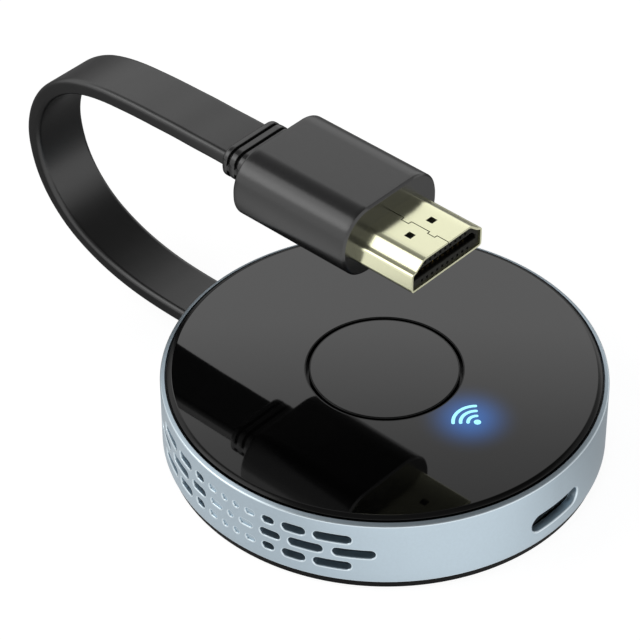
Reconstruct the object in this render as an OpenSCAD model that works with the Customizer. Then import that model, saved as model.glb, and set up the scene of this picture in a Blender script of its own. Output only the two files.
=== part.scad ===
// Wireless video transmitter: a round puck with a push button on top, a USB-C socket in its
// side and a short flat lead that carries a full size plug. Millimetres, Z up.
// The origin is where the puck's axis meets the surface that it stands on.
// +X points at the socket, and the lead leaves towards -X and loops back over the puck.

/* [Body] */
// Outer diameter of the aluminium side ring
body_d = 61.2; // [60:0.2:66]
// Height of the puck, from the foot's underside to the top plate
body_h = 12.1; // [12:0.1:14]
// Wall of the side ring
ring_wall = 1.3; // [1.1:0.1:1.5]
// Width of the ring's sloped land round the top plate
ring_land_w = 0.64; // [0.5:0.02:0.8]
// Drop of that land from its inner edge to the outer wall
ring_land_drop = 0.28; // [0.2:0.02:0.4]
// Height of the black cover that shows under the ring
cover_rim_h = 1.45; // [1.4:0.05:1.8]
// Thickness of the shelf inside the ring that carries the top plate
shelf_t = 0.95; // [0.8:0.05:1]
// Width of that shelf
shelf_w = 1; // [0.8:0.1:1.2]
// Width of the lower ledge that the frame holds down
ledge_w = 0.7; // [0.5:0.1:0.9]

/* [Top plate] */
// Thickness of the glossy top plate
plate_t = 1.3; // [1:0.1:1.4]
// How far the plate stands above the ring
plate_proud = 0.44; // [0.3:0.02:0.5]
// Gap between the plate's edge and the ring
plate_gap = 0.31; // [0.2:0.01:0.4]
// Width of the bevel round the plate
plate_bevel_w = 0.65; // [0.4:0.05:0.9]
// Height of that bevel
plate_bevel_h = 0.3; // [0.2:0.05:0.4]
// Thickness of the adhesive under the plate
glue_t = 0.15; // [0.1:0.05:0.2]
// Width of the adhesive ring
glue_w = 2.4; // [1.6:0.1:3]

/* [Button] */
// Diameter of the round button
button_d = 20.6; // [18:0.2:22]
// Width of the groove round the button
groove_w = 0.42; // [0.3:0.02:0.6]
// Width of the flange that keeps the button under the plate
flange_w = 1.3; // [1:0.1:1.6]
// Thickness of that flange
flange_t = 0.55; // [0.4:0.05:0.6]
// Play between the flange and the plate
flange_play = 0.1; // [0.05:0.01:0.15]
// Thickness of the soft ring under the flange
cushion_t = 0.7; // [0.6:0.05:0.8]
// Diameter of the stem that presses the switch
stem_d = 5; // [4:0.2:6]
// Play between the stem and its guide
stem_play = 0.05; // [0.03:0.01:0.08]
// Small bevel round the button
button_bevel = 0.12; // [0.05:0.01:0.2]

/* [Vents] */
// Height of the middle row of vents above the ground
vent_z = 6.32; // [6:0.02:6.6]
// Distance between the rows
vent_pitch = 2.33; // [2.2:0.01:2.4]
// Length of the longest vent
vent_len = 5.7; // [5:0.1:6]
// Height of the longest vent
vent_h = 1.35; // [1.1:0.05:1.4]
// Depth of the short vents that do not go through
vent_blind = 0.4; // [0.3:0.05:0.6]

/* [Socket] */
// Width of the socket's mouth in the ring
port_w = 9.3; // [9:0.1:9.6]
// Height of that mouth
port_h = 2.8; // [2.7:0.1:3]
// Bevel round the mouth
port_bevel = 0.2; // [0.1:0.05:0.3]
// Outer width of the socket's metal shell
usb_w = 8.94; // [8.9:0.02:9]
// Outer height of that shell
usb_h = 3.2; // [3.1:0.02:3.24]
// Length of the socket
usb_len = 7.35; // [6.8:0.05:8]
// Sheet thickness of the socket's shell
usb_sheet = 0.3; // [0.2:0.05:0.35]

/* [Indicator] */
// Distance of the indicator from the puck's axis
glyph_x = 14.9; // [14:0.1:16]
// Radius of the outermost arc of the indicator
glyph_r = 3.25; // [2.6:0.05:3.4]
// Width of the indicator's strokes
glyph_stroke = 0.5; // [0.4:0.05:0.6]
// Play round the indicator's inlay
glyph_play = 0.03; // [0.02:0.01:0.05]

/* [Lead] */
// Width of the flat lead
lead_w = 9; // [8:0.1:9.2]
// Thickness of the flat lead
lead_t = 2.4; // [2:0.1:2.8]
// Corner radius of the lead's section
lead_r = 0.9; // [0.5:0.1:0.95]
// Width of the gland where the lead leaves the ring
gland_w = 11; // [10.8:0.1:11.6]
// Height of the gland
gland_h = 4.4; // [4.3:0.1:4.8]
// How far the gland stands out of the ring
gland_len = 3; // [2:0.1:3.4]

/* [Plug] */
// Height of the plug's middle above the ground
plug_z = 37.15; // [34:0.05:40]
// Distance of the plug's front face from the puck's axis
plug_x = 10.4; // [8:0.1:14]
// Width of the plug's metal shell
shell_w = 13.9; // [13.8:0.05:14]
// Height of the shell
shell_h = 4.45; // [4.4:0.05:4.55]
// Sheet thickness of the shell
shell_sheet = 0.3; // [0.25:0.05:0.35]
// Length of the shell that stands out of the housing
shell_out = 9.7; // [9:0.1:11]
// Length of the shell inside the housing
shell_in = 7.5; // [6:0.1:8]
// Width of the plug's housing
housing_w = 18.4; // [18:0.1:20]
// Height of the housing
housing_h = 10.4; // [10:0.1:11.6]
// Length of the housing
housing_len = 19.8; // [19.2:0.1:19.8]
// Corner radius of the housing's section
housing_r = 4.9; // [3:0.1:4.9]
// Wall of the housing
housing_wall = 1.5; // [1.2:0.1:1.6]
// Width of the collar behind the housing
collar_w = 10.9; // [10.4:0.1:11.4]
// Height of the collar
collar_h = 4.75; // [4.4:0.05:5]
// Length of the collar
collar_len = 5.7; // [5.2:0.1:6]

/* [Board] */
// Gap between the main board's edge and the ring
board_margin = 1.8; // [1.6:0.1:2.4]
// Thickness of the main board
board_t = 1; // [0.8:0.1:1]
// Space between the cover's floor and the board
board_gap = 0.75; // [0.7:0.05:0.8]

/* [Bottom] */
// Thickness of the bottom cover
cover_t = 1.3; // [1.2:0.1:1.4]
// Width of the cover that shows round the foot
foot_margin = 4.3; // [3.8:0.1:4.6]
// Thickness of the foot
foot_t = 0.8; // [0.7:0.05:0.9]
// How far the foot stands below the cover
foot_proud = 0.15; // [0.1:0.05:0.25]
// Distance from the foot's edge to the cover screws
screw_inset = 3.2; // [3.1:0.1:4]
// Diameter of the cover screws
screw_d = 2; // [1.6:0.1:2.2]

/* [Hidden] */
$fn = 96;

// One overrun for every cut, and one hairline play between pieces that are glued or moulded
over = 0.5;
play = 0.05;

// Levels and radii of the body
body_r = body_d / 2;
ring_in_r = body_r - ring_wall;
ring_top_z = body_h - plate_proud;
lip_r = body_r - ring_land_w;
plate_r = lip_r - plate_gap;
plate_z = body_h - plate_t;
shelf_z = plate_z - glue_t;
shelf_in_r = ring_in_r - shelf_w;
ring_chamfer = ring_wall / 8;

// The button and what lies under it
button_r = button_d / 2;
hole_r = button_r + groove_w;
flange_r = button_r + flange_w;
flange_top_z = plate_z - flange_play;
flange_z = flange_top_z - flange_t;
cup_floor_z = flange_z - cushion_t;
cup_floor_t = 0.8;
cup_wall = 1;
cup_r = flange_r + groove_w;
cushion_w = 1.8;
frame_play = 0.12;
ledge_drop = 0.45;
ledge_z = shelf_z - ledge_drop;
ledge_in_r = shelf_in_r - ledge_w;

// The bottom stack
board_r = ring_in_r - board_margin;
cover_z = foot_proud;
cover_floor_z = cover_z + cover_t;
cover_r = body_r - ring_wall * 0.6;
cover_edge = 0.15;
foot_r = cover_r - foot_margin;
screw_ring_r = foot_r - screw_inset;
recess_z = foot_t;
recess_play = 0.15;
spigot_h = 0.95;
spigot_t = 0.9;
board_z = cover_floor_z + board_gap;
board_top = board_z + board_t;
boss_r = 2.2;
screw_play = 0.15;
thread_play = 0.03;
head_r = screw_d * 0.9;
head_h = 0.85;
head_play = 0.2;
socket_r = screw_d * 0.35;
screw_bite = 4.5;
notch_deep = 6;
notch_x = board_r - notch_deep;
notch_w = 14.6;

// The switch in the middle of the board
switch_w = 6;
switch_h = 3.5;
plunger_d = 3.5;
plunger_out = 1.3;
plunger_root = 0.4;
plunger_room = 0.5;
plunger_top = board_top + switch_h + plunger_out;

// Chips, each as [x, y, length, width, height], their places tied to the board or a neighbour
chip_gap = 0.5;
soc_y_share = -0.46;
soc_size = [12, 12, 1.2];
ram_size = [5, 7.5, 1.05];
flash_size = [5, 6, 1.05];
store_y_share = -0.27;
video_size = [5.8, 5.6, 0.9];
wifi_size = [7, 7, 0.9];
wifi_x = -2.1;
wifi_y_share = 0.36;
quartz = [7.5, 7.1, 3.2, 2.5, 0.8];
coil = [13.1, 6.6, 4.9, 4.9, 2.2];
led = [glyph_x, 0, 1.6, 0.8, 0.6];
soc_y = soc_y_share * board_r;
store_y = store_y_share * board_r;
soc = [0, soc_y, soc_size[0], soc_size[1], soc_size[2]];
ram = [-(soc_size[0] + ram_size[0]) / 2 - chip_gap, store_y, ram_size[0], ram_size[1], ram_size[2]];
flash = [(soc_size[0] + flash_size[0]) / 2 + chip_gap, store_y, flash_size[0], flash_size[1],
         flash_size[2]];
video = [(switch_w + video_size[0]) / 2 + chip_gap * 2, 0, video_size[0], video_size[1],
         video_size[2]];
wifi = [wifi_x, wifi_y_share * board_r, wifi_size[0], wifi_size[1], wifi_size[2]];
cap_size = [1.6, 0.8, 0.7];
cap_place_shares = [[0.62, -0.3], [0.62, -0.2], [0.2, 0.78], [-0.2, 0.78], [0.42, 0.45],
                    [0, -0.8], [0.12, -0.8], [-0.12, -0.8]];
pad_t = 0.6;
spreader = [17, 14, 1.05];
can = [15, 9.6, 2.1];
can_sheet = 0.2;
antenna = [8, 4.4, 0.3];
antenna_inset = 5.5;
antenna_r = board_r - antenna_inset;
antenna_angle = 20;
spring_r = 0.6;
spring_base = [0.9, 2];
guide_r = 1.7;
guide_head_r = glyph_r * 0.75;
glyph_shares = [0.38, 0.69, 1];

// The socket
usb_back = 0.45;
usb_x = ring_in_r - usb_back;
port_z = board_top + usb_h / 2;
tongue = [6.69, 0.7];
tongue_back = 0.6;
port_r_share = 0.49;
usb_r_share = 0.4;
usb_block_len = 2;
usb_pad = [0.25, 0.05];
usb_pads = 6;

// The gland, the clamp and what the lead is joined to
exit_rise = 1.1;
exit_z = board_top + exit_rise;
gland_end_x = body_r + gland_len;
gland_neck_share = 0.88;
gland_tip_share = 0.86;
gland_flange_t = 1;
gland_flange_w = 12.6;
gland_r = 1.3;
clamp = [3, 13, 5];
clamp_back = 4.7;
clamp_x = ring_in_r - clamp_back;
tail_over = 0.3;
tail_end_x = notch_x + tail_over;
wire_d = 0.5;
wires = 9;
connector = [3.4, 11.6, 2.7];
connector_inset = 1.3;
connector_x = notch_x - connector_inset;

// The plug, from its front face backwards
shell_z = plug_z - shell_h / 2;
front_x = plug_x - shell_out;
rear_x = front_x - housing_len;
collar_x = rear_x - collar_len;
latch = 1.1;
latch_back = 4.5;
latch_y = 2.15;
seam_w = 0.1;
insulator_back = 0.35;
slot_len = 7;
pin_w = 0.45;
pin_t = 0.15;
pin_pitch = 1;
pin_len = 6.2;
window = 0.42;
window_deep = 0.5;
window_up = 0.5;
window_down = 0.74;
pins_up = 9;
pins_down = 10;
mold_len = 9;
mold_gap = 0.1;
collar_r = 2;
collar_groove_w = 0.5;
collar_groove_deep = 0.45;
collar_groove_pitch = 1.4;
collar_groove_first = 1.25;

// Route of the lead's centre line as [x, z], from the gland round the loop to the collar
lead_route = [[-33.6, 4.3], [-37, 4.3], [-40.5, 4.4], [-44, 4.7], [-47.5, 5.3], [-50.8, 6.2],
              [-54, 7.5], [-56.8, 9.1], [-59.2, 11.1], [-61.2, 13.5], [-62.7, 16.3],
              [-63.6, 19.4], [-63.9, 22.6], [-63.4, 25.7], [-62.2, 28.6], [-60.4, 31.1],
              [-58, 33.2], [-55.2, 34.8], [-52.1, 35.8], [-48.8, 36.4], [-45.4, 36.7],
              [-42, 36.9], [-38.5, 37], [-35, 37.1], [-31.5, 37.1], [-28, 37.15],
              [-24.8, 37.15]];

// Vents on both sides of the pattern's middle: angle from it, then length, height and whether
// it goes through. Lengths and heights are shares of the longest vent's.
outer_row_shares = [[1.9, 0.16, 0.67, false], [6.3, 0.25, 0.63, false], [11.6, 0.31, 0.85, true],
                    [18.6, 0.58, 1, true], [28.6, 0.9, 1, true]];
middle_row_shares = [[0, 0.16, 0.67, false], [5, 0.37, 0.63, false], [12.1, 0.53, 0.89, true],
                     [21.7, 0.84, 1, true], [34, 1, 1, true]];
vent_turn = 90;
screen_half_angle = 42;
screen_t = 0.3;

// Half outline of the plug's shell as shares of its width and height, from the bottom up
shell_shares = [[0.5, 0], [0.5, 0.65], [0.44, 0.73], [0.335, 1]];
slot_shares = [[0.44, 0.32], [0.44, 0.45], [0.38, 0.63]];

// Helpers

// A rectangle with round corners, centred
module pill(w, h, r) {
    square([w - 2 * r, h], center = true);
    square([w, h - 2 * r], center = true);
    for (i = [-1, 1], j = [-1, 1]) translate([i * (w / 2 - r), j * (h / 2 - r)]) circle(r);
}

// Stands a flat outline up, so that its x runs along Y and its y along Z, and draws it along +X
module along_x(x0, len, z = 0) {
    translate([x0, 0, z]) rotate([90, 0, 90]) linear_extrude(len) children();
}

// A plain cylinder between two levels
module post(r, z0, z1) {
    translate([0, 0, z0]) cylinder(r = r, h = z1 - z0);
}

// A flat ring between two radii and two levels
module band(r_in, r_out, z0, z1) {
    difference() {
        post(r_out, z0, z1);
        post(r_in, z0 - over, z1 + over);
    }
}

// A box that stands on a level, centred on a place
module chip(c, z0) {
    translate([c[0] - c[2] / 2, c[1] - c[3] / 2, z0]) cube([c[2], c[3], c[4]]);
}

// The four screw places
module at_screws() {
    for (i = [0 : 3]) rotate(45 + 90 * i) translate([screw_ring_r, 0, 0]) children();
}

// The whole closed outline of a half outline given as shares of a width and a height
function full_outline(shares, w, h) = concat(
    [for (s = shares) [s[0] * w, s[1] * h]],
    [for (i = [len(shares) - 1 : -1 : 0]) [-shares[i][0] * w, shares[i][1] * h]]);

// Where two lines meet, each given by a point and a direction
function cross2(a, b) = a[0] * b[1] - a[1] * b[0];
function meet(p, d, q, e) = p + d * cross2(q - p, e) / cross2(d, e);

// An outline moved inwards by t, its corners kept sharp, for points that run anticlockwise
function side_in(a, b, t) = let (d = (b - a) / norm(b - a)) a + t * [-d[1], d[0]];
function inset(p, t) = let (n = len(p)) [for (i = [0 : n - 1])
    let (a = p[(i + n - 1) % n], b = p[i], c = p[(i + 1) % n])
    meet(side_in(a, b, t), b - a, side_in(b, c, t), c - b)];

// Body

module vent_slot(len, h, deep) {
    rotate([90, 0, 90]) linear_extrude(deep + over) {
        if (len > h) square([len - h, h], center = true);
        for (i = [-1, 1]) translate([i * max(len - h, 0) / 2, 0]) circle(min(len, h) / 2);
    }
}

module vent_row(shares, z) {
    for (s = shares, side = (s[0] == 0) ? [1] : [-1, 1]) {
        deep = s[3] ? ring_wall + over : vent_blind;
        rotate(side * s[0] - vent_turn) translate([body_r - deep, 0, z])
            vent_slot(s[1] * vent_len, s[2] * vent_h, deep);
    }
}

module side_ring() {
    color([0.62, 0.7, 0.75]) difference() {
        rotate_extrude($fn = 180) polygon([
            [ring_in_r, cover_rim_h], [body_r - ring_chamfer, cover_rim_h],
            [body_r, cover_rim_h + ring_chamfer], [body_r, ring_top_z - ring_land_drop],
            [lip_r, ring_top_z], [lip_r, shelf_z], [shelf_in_r, shelf_z], [shelf_in_r, ledge_z],
            [ledge_in_r, ledge_z], [ledge_in_r, shelf_z - shelf_t],
            [ring_in_r, shelf_z - shelf_t]]);
        vent_row(outer_row_shares, vent_z + vent_pitch);
        vent_row(middle_row_shares, vent_z);
        vent_row(outer_row_shares, vent_z - vent_pitch);
        // the socket's mouth and its bevel
        along_x(ring_in_r - over * 2, ring_wall + over * 4, port_z)
            pill(port_w, port_h, port_h * port_r_share);
        along_x(body_r - port_bevel * 2, port_bevel * 2 + over, port_z)
            pill(port_w + port_bevel, port_h + port_bevel, port_h * port_r_share);
        // the way out for the gland's neck
        along_x(-body_r - over, ring_wall + over * 4, exit_z)
            pill(gland_w * gland_neck_share + play * 2, gland_h * gland_neck_share + play * 2, gland_r);
    }
}

module top_plate() {
    color([0.03, 0.03, 0.035]) difference() {
        rotate_extrude($fn = 180) polygon([
            [hole_r, plate_z], [plate_r, plate_z], [plate_r, body_h - plate_bevel_h],
            [plate_r - plate_bevel_w, body_h], [hole_r, body_h]]);
        translate([0, 0, plate_z - over]) linear_extrude(plate_t + 2 * over) glyph(glyph_play);
    }
}

module plate_adhesive() {
    color([0.1, 0.1, 0.1]) band(lip_r - play - glue_w, lip_r - play, shelf_z, plate_z);
}

// The indicator: a dot and three arcs that open towards the lead
module glyph(grow) {
    translate([glyph_x + glyph_r / 2, 0]) {
        circle(glyph_stroke + grow);
        for (share = glyph_shares) intersection() {
            difference() {
                circle(glyph_r * share + glyph_stroke / 2 + grow);
                circle(glyph_r * share - glyph_stroke / 2 - grow);
            }
            polygon([[grow * 2, 0], [-glyph_r * 2, glyph_r * 2 + grow],
                     [-glyph_r * 2, -glyph_r * 2 - grow]]);
        }
    }
}

module indicator_glyph() {
    color([0.6, 0.9, 1]) translate([0, 0, plate_z]) linear_extrude(plate_t) glyph(0);
}

module button_cap() {
    color([0.04, 0.04, 0.045]) union() {
        rotate_extrude($fn = 180) polygon([
            [0, flange_z], [flange_r, flange_z], [flange_r, flange_top_z], [button_r, flange_top_z],
            [button_r, body_h - button_bevel], [button_r - button_bevel, body_h], [0, body_h]]);
        post(stem_d / 2, plunger_top, flange_z + flange_t / 2);
    }
}

module return_cushion() {
    color([0.25, 0.25, 0.27]) band(flange_r - cushion_w, flange_r, cup_floor_z, flange_z);
}

module switch_plunger() {
    color([0.1, 0.1, 0.1]) post(plunger_d / 2, board_top + switch_h - plunger_root, plunger_top);
}

module switch_body() {
    color([0.75, 0.76, 0.78]) difference() {
        chip([0, 0, switch_w, switch_w, switch_h], board_top);
        post(plunger_d / 2 + play, board_top + switch_h - plunger_root - plunger_room,
             board_top + switch_h + over);
    }
}

module top_frame() {
    guide_r = stem_d / 2 + stem_play;
    color([0.16, 0.16, 0.17]) difference() {
        union() {
            // the button's cup, the disc round it, and the lip that holds the ring's ledge down
            rotate_extrude($fn = 180) polygon([
                [guide_r, cup_floor_z - cup_floor_t], [cup_r + cup_wall, cup_floor_z - cup_floor_t],
                [cup_r + cup_wall, cup_floor_z], [ledge_in_r - frame_play, cup_floor_z],
                [ledge_in_r - frame_play, ledge_z], [shelf_in_r - frame_play, ledge_z],
                [shelf_in_r - frame_play, shelf_z], [cup_r, shelf_z], [cup_r, cup_floor_z],
                [guide_r, cup_floor_z]]);
            at_screws() post(boss_r, board_top, cup_floor_z + ledge_drop);
        }
        at_screws() post(screw_d / 2 + thread_play, board_top - over, board_top + screw_bite + over);
        translate([glyph_x, 0, 0])
            post(guide_head_r + play * 2, cup_floor_z - cup_floor_t - over, shelf_z + over);
    }
}

module light_guide() {
    color([0.85, 0.92, 1]) translate([glyph_x, 0, 0]) {
        post(guide_head_r, cup_floor_z, plate_z - play);
        post(guide_r, board_top + led[4] + play * 2, cup_floor_z);
    }
}

module status_led() {
    color([0.9, 0.95, 1]) chip(led, board_top);
}

// Bottom

module bottom_cover() {
    color([0.05, 0.05, 0.055]) difference() {
        union() {
            rotate_extrude($fn = 180) polygon([
                [0, cover_z], [cover_r - cover_edge, cover_z], [cover_r, cover_z + cover_edge],
                [cover_r, cover_rim_h], [0, cover_rim_h]]);
            difference() {
                band(ring_in_r - recess_play - spigot_t, ring_in_r - recess_play, cover_floor_z,
                     cover_rim_h + spigot_h);
                translate([-body_r, -gland_flange_w / 2 - recess_play, cover_rim_h])
                    cube([body_r / 2, gland_flange_w + recess_play * 2, spigot_h + over]);
            }
            at_screws() post(boss_r, cover_floor_z - over, board_z);
        }
        post(foot_r + recess_play, cover_z - over, recess_z);
        at_screws() {
            post(head_r + head_play, cover_z, recess_z + head_h);
            post(screw_d / 2 + screw_play, cover_z, board_z + over);
        }
    }
}

module foot_pad() {
    color([0.08, 0.08, 0.08]) post(foot_r, 0, foot_t);
}

module cover_screws() {
    color([0.7, 0.7, 0.72]) at_screws() difference() {
        union() {
            post(head_r, recess_z + play, recess_z + head_h);
            post(screw_d / 2, recess_z + play, board_top + screw_bite);
        }
        translate([0, 0, recess_z - over]) cylinder(r = socket_r, h = over + head_h * 0.6, $fn = 6);
    }
}

// Board

module main_board() {
    color([0.07, 0.3, 0.18]) difference() {
        post(board_r, board_z, board_top);
        at_screws() post(screw_d / 2 + screw_play, board_z - over, board_top + over);
        translate([-body_r, -notch_w / 2, board_z - over])
            cube([body_r - notch_x, notch_w, board_t + 2 * over]);
    }
}

module processor() {
    color([0.12, 0.12, 0.13]) chip(soc, board_top);
}

module memory_chip() {
    color([0.1, 0.1, 0.11]) chip(ram, board_top);
}

module flash_chip() {
    color([0.11, 0.11, 0.12]) chip(flash, board_top);
}

module thermal_pad() {
    color([0.55, 0.62, 0.7]) chip([soc[0], soc[1], soc[2], soc[3], pad_t], board_top + soc[4]);
}

module heat_spreader() {
    color([0.78, 0.79, 0.8])
        chip([soc[0], soc[1], spreader[0], spreader[1], spreader[2]], board_top + soc[4] + pad_t);
}

module wifi_chip() {
    color([0.1, 0.1, 0.11]) chip(wifi, board_top);
}

module wifi_shield() {
    color([0.8, 0.81, 0.82]) difference() {
        chip([wifi[0], wifi[1], can[0], can[1], can[2]], board_top);
        chip([wifi[0], wifi[1], can[0] - 2 * can_sheet, can[1] - 2 * can_sheet, can[2] + over - can_sheet],
             board_top - over);
    }
}

// Two strips stuck under the frame, each on a spring contact that stands on the board
module at_antennas() {
    for (i = [-1, 1]) rotate(90 + i * antenna_angle) translate([antenna_r, 0, 0]) children();
}

module antenna_strips() {
    color([0.85, 0.65, 0.3]) at_antennas()
        translate([-antenna[1] / 2, -antenna[0] / 2, cup_floor_z - antenna[2]])
            cube([antenna[1], antenna[0], antenna[2]]);
}

module antenna_contacts() {
    color([0.9, 0.75, 0.4]) at_antennas() translate([antenna[1] / 3, 0, 0]) {
        post(spring_base[0], board_top, board_top + spring_base[1]);
        post(spring_r, board_top + spring_base[1], cup_floor_z - antenna[2]);
    }
}

module video_chip() {
    color([0.1, 0.1, 0.11]) chip(video, board_top);
}

module crystal() {
    color([0.82, 0.82, 0.84]) chip(quartz, board_top);
}

module power_inductor() {
    color([0.2, 0.2, 0.21]) chip(coil, board_top);
}

module capacitors() {
    color([0.6, 0.5, 0.36]) for (p = cap_place_shares * board_r)
        chip([p[0], p[1], cap_size[0], cap_size[1], cap_size[2]], board_top);
}

// A strip of fine mesh that lines the ring behind the vents
module vent_screen() {
    reach = body_d * tan(screen_half_angle);
    color([0.05, 0.06, 0.07]) intersection() {
        band(ring_in_r - play - screen_t, ring_in_r - play, cover_rim_h + spigot_h + play,
             shelf_z - shelf_t);
        translate([0, 0, cover_rim_h]) linear_extrude(body_h)
            polygon([[0, 0], [-reach, -body_d], [reach, -body_d]]);
    }
}

// Socket

module usb_shell() {
    color([0.7, 0.71, 0.73]) difference() {
        along_x(usb_x - usb_len, usb_len, port_z) pill(usb_w, usb_h, usb_h * usb_r_share);
        along_x(usb_x - usb_len - over, usb_len + 2 * over, port_z)
            pill(usb_w - 2 * usb_sheet, usb_h - 2 * usb_sheet, usb_h * usb_r_share - usb_sheet);
    }
}

module usb_tongue() {
    color([0.06, 0.06, 0.06]) union() {
        along_x(usb_x - usb_len, usb_block_len, port_z)
            pill(usb_w - 2 * usb_sheet - 2 * play, usb_h - 2 * usb_sheet - 2 * play,
                 usb_h * usb_r_share - usb_sheet - play);
        translate([usb_x - usb_len, -tongue[0] / 2, port_z - tongue[1] / 2])
            cube([usb_len - tongue_back, tongue[0], tongue[1]]);
    }
}

module usb_contacts() {
    color([0.9, 0.75, 0.35]) for (i = [0 : usb_pads - 1], side = [-1, 1])
        translate([usb_x - usb_len + usb_block_len,
                   (i - (usb_pads - 1) / 2) * usb_pad[0] * 3.5 - usb_pad[0] / 2,
                   port_z + side * (tongue[1] + usb_pad[1]) / 2 - usb_pad[1] / 2])
            cube([usb_len - usb_block_len - tongue_back * 2, usb_pad[0], usb_pad[1]]);
}

// Lead inside and outside the puck

module cable_gland() {
    neck_w = gland_w * gland_neck_share;
    neck_h = gland_h * gland_neck_share;
    color([0.08, 0.08, 0.08]) union() {
        // the neck through the wall
        along_x(-body_r - play, ring_wall + gland_flange_t, exit_z) pill(neck_w, neck_h, gland_r);
        // the flange behind the wall
        intersection() {
            along_x(-ring_in_r, gland_flange_t + ring_wall, exit_z)
                pill(gland_flange_w, gland_h * 0.95, gland_r);
            post(ring_in_r - play, 0, body_h);
        }
        // the tapered boot outside, hollowed to the ring's curve
        difference() {
            hull() {
                along_x(-gland_end_x, play, exit_z)
                    pill(gland_w * gland_tip_share, gland_h * 0.68, gland_r, $fn = 32);
                along_x(-body_r - gland_len * 0.35, play, exit_z)
                    pill(gland_w * 0.98, gland_h * 0.94, gland_r, $fn = 32);
                along_x(-body_r, ring_wall, exit_z) pill(gland_w, gland_h, gland_r, $fn = 32);
            }
            post(body_r + play, 0, body_h);
        }
    }
}

module cable_clamp() {
    color([0.12, 0.12, 0.13]) difference() {
        translate([-clamp_x - clamp[0] / 2, -clamp[1] / 2, cover_floor_z]) cube(clamp);
        along_x(-clamp_x - clamp[0], clamp[0] * 2, exit_z)
            pill(lead_w + play * 2, lead_t + play * 2, lead_r);
    }
}

module cable_tail() {
    color([0.1, 0.1, 0.1]) along_x(-ring_in_r + gland_flange_t + ring_wall,
                                   ring_in_r - gland_flange_t - ring_wall - tail_end_x, exit_z)
        pill(lead_w, lead_t, lead_r);
}

module cable_wires() {
    color([0.8, 0.5, 0.2]) for (i = [0 : wires - 1])
        translate([-tail_end_x, (i - (wires - 1) / 2) * wire_d * 1.8, exit_z])
            rotate([0, 90, 0]) cylinder(d = wire_d, h = tail_end_x - connector_x, $fn = 16);
}

module board_connector() {
    color([0.85, 0.83, 0.76]) translate([-connector_x, -connector[1] / 2, board_top]) cube(connector);
}

// The lead's section as [across, up] and its rings along the route
function lead_corner(i, j, a) =
    [i * (lead_w / 2 - lead_r) + lead_r * cos(a), j * (lead_t / 2 - lead_r) + lead_r * sin(a)];
lead_section = concat(
    [for (a = [0, 45, 90]) lead_corner(1, 1, a)], [for (a = [90, 135, 180]) lead_corner(-1, 1, a)],
    [for (a = [180, 225, 270]) lead_corner(-1, -1, a)],
    [for (a = [270, 315, 360]) lead_corner(1, -1, a)]);

// The route's two ends are moved to the gland and the collar, and its middle by less
lead_last = len(lead_route) - 1;
lead_shift_a = [-gland_end_x, exit_z] - lead_route[0];
lead_shift_b = [collar_x, plug_z] - lead_route[lead_last];
function lead_point(i) = let (u = i / lead_last)
    lead_route[i] + lead_shift_a * (1 - u) + lead_shift_b * u;

function lead_dir(i) = (i == 0) ? [-1, 0] : (i == lead_last) ? [1, 0]
    : let (d = lead_point(i + 1) - lead_point(i - 1)) d / norm(d);

module flat_cable() {
    n = lead_last + 1;
    m = len(lead_section);
    points = [for (i = [0 : lead_last], s = lead_section)
        let (p = lead_point(i), d = lead_dir(i))
        [p[0] - s[1] * d[1], s[0], p[1] + s[1] * d[0]]];
    walls = [for (i = [0 : n - 2], j = [0 : m - 1])
        let (a = i * m + j, b = i * m + (j + 1) % m) each [[a, b, b + m], [a, b + m, a + m]]];
    caps = [[for (j = [m - 1 : -1 : 0]) j], [for (j = [0 : m - 1]) (n - 1) * m + j]];
    color([0.1, 0.1, 0.1]) polyhedron(points, concat(walls, caps));
}

// Plug

module collar_groove(x) {
    difference() {
        along_x(x - collar_groove_w / 2, collar_groove_w, plug_z)
            square([collar_w * 2, collar_h * 2], center = true);
        along_x(x - collar_groove_w, collar_groove_w * 2, plug_z)
            pill(collar_w - 2 * collar_groove_deep, collar_h - 2 * collar_groove_deep,
                 collar_r - collar_groove_deep);
        // the rib that stays at mid height
        translate([x - collar_groove_w, -collar_w, plug_z - collar_groove_w / 2])
            cube([collar_groove_w * 2, collar_w * 2, collar_groove_w]);
    }
}

module plug_collar() {
    color([0.1, 0.1, 0.1]) difference() {
        along_x(collar_x, collar_len, plug_z) pill(collar_w, collar_h, collar_r);
        for (i = [0 : 2]) collar_groove(collar_x + collar_groove_first + i * collar_groove_pitch);
    }
}

shell_outline = full_outline(shell_shares, shell_w, shell_h);

module plug_housing() {
    color([0.12, 0.12, 0.12]) difference() {
        along_x(rear_x, housing_len, plug_z) pill(housing_w, housing_h, housing_r);
        along_x(front_x - shell_in - play, shell_in + play + over, shell_z)
            polygon(inset(shell_outline, -play));
        along_x(front_x - shell_in - mold_len - mold_gap, mold_len + mold_gap, plug_z)
            pill(housing_w - 2 * housing_wall, housing_h - 2 * housing_wall, housing_r - housing_wall);
    }
}

module plug_inner_mold() {
    color([0.85, 0.84, 0.8]) along_x(front_x - shell_in - mold_len - mold_gap + play,
                                     mold_len, plug_z)
        pill(housing_w - 2 * housing_wall - 2 * play, housing_h - 2 * housing_wall - 2 * play,
             housing_r - housing_wall - play);
}

module plug_shell() {
    color([0.85, 0.82, 0.6]) difference() {
        along_x(front_x - shell_in, shell_in + shell_out, shell_z) polygon(shell_outline);
        along_x(front_x - shell_in - over, shell_in + shell_out + 2 * over, shell_z)
            polygon(inset(shell_outline, shell_sheet));
        for (i = [-1, 1])
            translate([plug_x - latch_back - latch / 2, i * latch_y - latch / 2, shell_z - over])
                cube([latch, latch, shell_h + 2 * over]);
        // the seam down the middle of the top
        translate([front_x, -seam_w / 2, shell_z + shell_h - shell_sheet * 2])
            cube([shell_out + over, seam_w, shell_sheet * 2 + over]);
    }
}

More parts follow.
